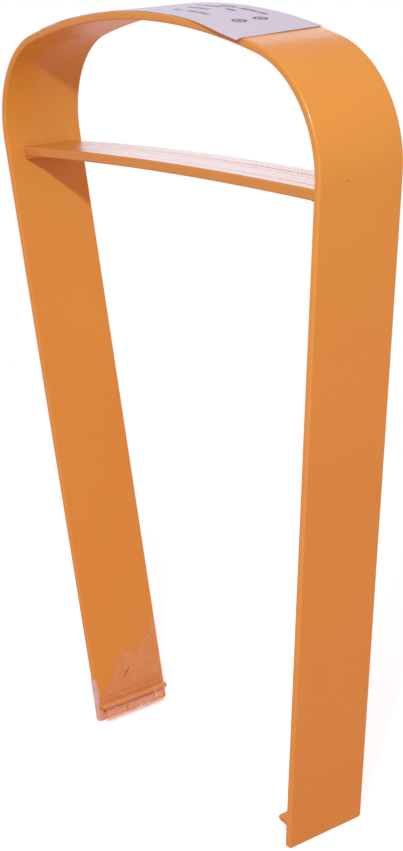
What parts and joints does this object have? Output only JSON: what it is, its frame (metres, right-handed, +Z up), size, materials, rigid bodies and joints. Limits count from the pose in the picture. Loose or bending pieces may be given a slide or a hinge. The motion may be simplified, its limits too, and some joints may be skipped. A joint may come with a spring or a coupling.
{
  "type": "carrying clip",
  "caption": "Flat plastic strap bent into an arch, with a crossbar hand grip, two springy legs that converge downwards and a narrow ledge inside each foot.",
  "frame": {"origin": "on the floor under the feet, midway between them, in the middle plane of the strap's width", "axes": "+X across the span towards the right leg, +Y through the strap's width from its front edge to its rear edge, +Z up from the feet to the crown"},
  "size_m": [0.2316, 0.0432, 0.3468],
  "materials": {
    "orange_plastic": "glossy orange sheet plastic with light handling scratches",
    "crossbar_plastic": "the same orange plastic, with faint lengthwise saw and polish lines on its upper face",
    "cement": "uneven solvent cement fillet, semi-gloss",
    "label_paper": "pale lilac laminated paper with small grey printing",
    "clear_film": "crumpled clear film with whitish torn edges"
  },
  "bodies": {
    "grip": {"strap_arch": "orange_plastic", "crossbar": "crossbar_plastic", "left_cement_bead": "cement", "right_cement_bead": "cement", "label": "label_paper"},
    "left_leg": {"left_leg": "orange_plastic", "left_ledge": "orange_plastic", "foot_film": "clear_film"},
    "right_leg": {"right_leg": "orange_plastic", "right_ledge": "orange_plastic"}
  },
  "joints": [
    {"name": "left_leg_flex", "type": "hinge", "parent": "grip", "child": "left_leg", "pos_m": [-0.10684, 0, 0.234], "axis": [0, 1, 0], "range_deg": [-15, 10], "stiffness_Nm_per_rad": 2.4},
    {"name": "right_leg_flex", "type": "hinge", "parent": "grip", "child": "right_leg", "pos_m": [0.10684, 0, 0.234], "axis": [0, -1, 0], "range_deg": [-15, 10], "stiffness_Nm_per_rad": 2.4}
  ]
}
